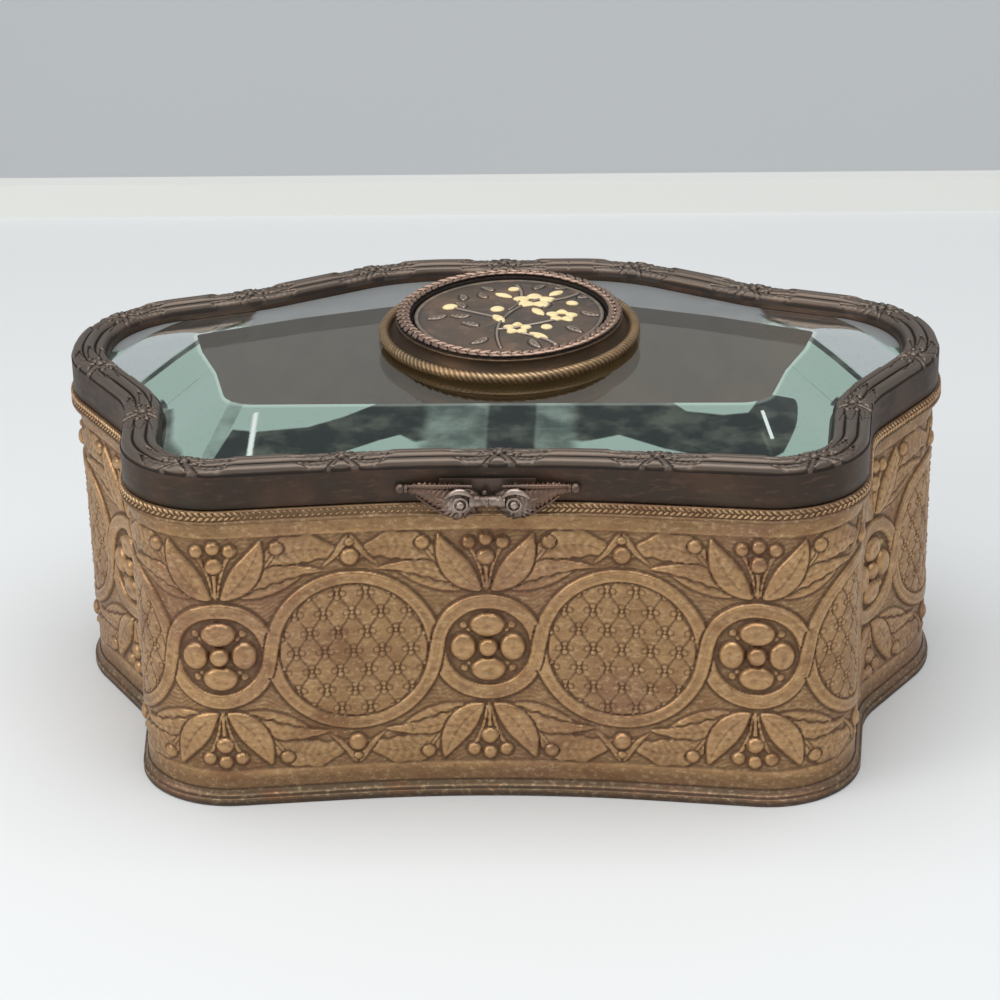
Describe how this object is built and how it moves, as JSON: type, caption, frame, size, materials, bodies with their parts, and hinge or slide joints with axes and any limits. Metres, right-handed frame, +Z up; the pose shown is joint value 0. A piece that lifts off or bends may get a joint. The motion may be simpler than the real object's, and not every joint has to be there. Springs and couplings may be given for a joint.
{
  "type": "glass casket box",
  "caption": "Keepsake casket on a shaped cartouche plan, with a stamped brass wall, a velvet lining and a hinged lid that frames a bevelled glass with an oval medallion.",
  "frame": {"origin": "centre of the object's box, on the plane that the base stands on", "axes": "+X to the right seen from the front, +Y to the back where the hinge is, +Z up"},
  "size_m": [0.1808, 0.1235, 0.0767],
  "materials": {
    "gilt_brass": "stamped and gilt, dull with age, darker in the hollows",
    "base_brass": "plain rolled sheet, dull",
    "dark_bronze": "umber patina, semi-matt",
    "bevelled_glass": "polished, faint green",
    "taupe_velvet": "short cut pile",
    "inner_brass": "plain strip, satin",
    "hinge_brass": "worn, satin",
    "copper_bronze": "red-brown patina, satin",
    "plaque_bronze": "dark patina, satin",
    "ivory_inlay": "polished cream inlay",
    "stud_brass": "turned, satin"
  },
  "bodies": {
    "case": {"base_plate": "base_brass", "base_moulding": "gilt_brass", "side_wall": "gilt_brass", "wall_lining": "taupe_velvet", "floor_board": "taupe_velvet", "rim_border": "gilt_brass", "hinge_leaf_case": "hinge_brass", "hinge_pin": "hinge_brass", "hinge_rivets_case": "hinge_brass"},
    "lid": {"lid_frame": "dark_bronze", "glass_panel": "bevelled_glass", "glass_retainer": "inner_brass", "retainer_tabs": "inner_brass", "thumb_lift": "dark_bronze", "lift_rivets": "dark_bronze", "hinge_leaf_lid": "hinge_brass", "hinge_rivets_lid": "hinge_brass", "medallion_dish": "copper_bronze", "medallion_rope": "copper_bronze", "medallion_wreath": "dark_bronze", "medallion_plaque": "plaque_bronze", "medallion_inlays": "ivory_inlay", "medallion_stud": "stud_brass", "medallion_washer": "stud_brass", "medallion_nut": "stud_brass"}
  },
  "joints": [
    {"name": "lid_hinge", "type": "hinge", "parent": "case", "child": "lid", "pos_m": [0, 0.05976, 0.06315], "axis": [-1, 0, 0], "range_deg": [0, 100]}
  ]
}
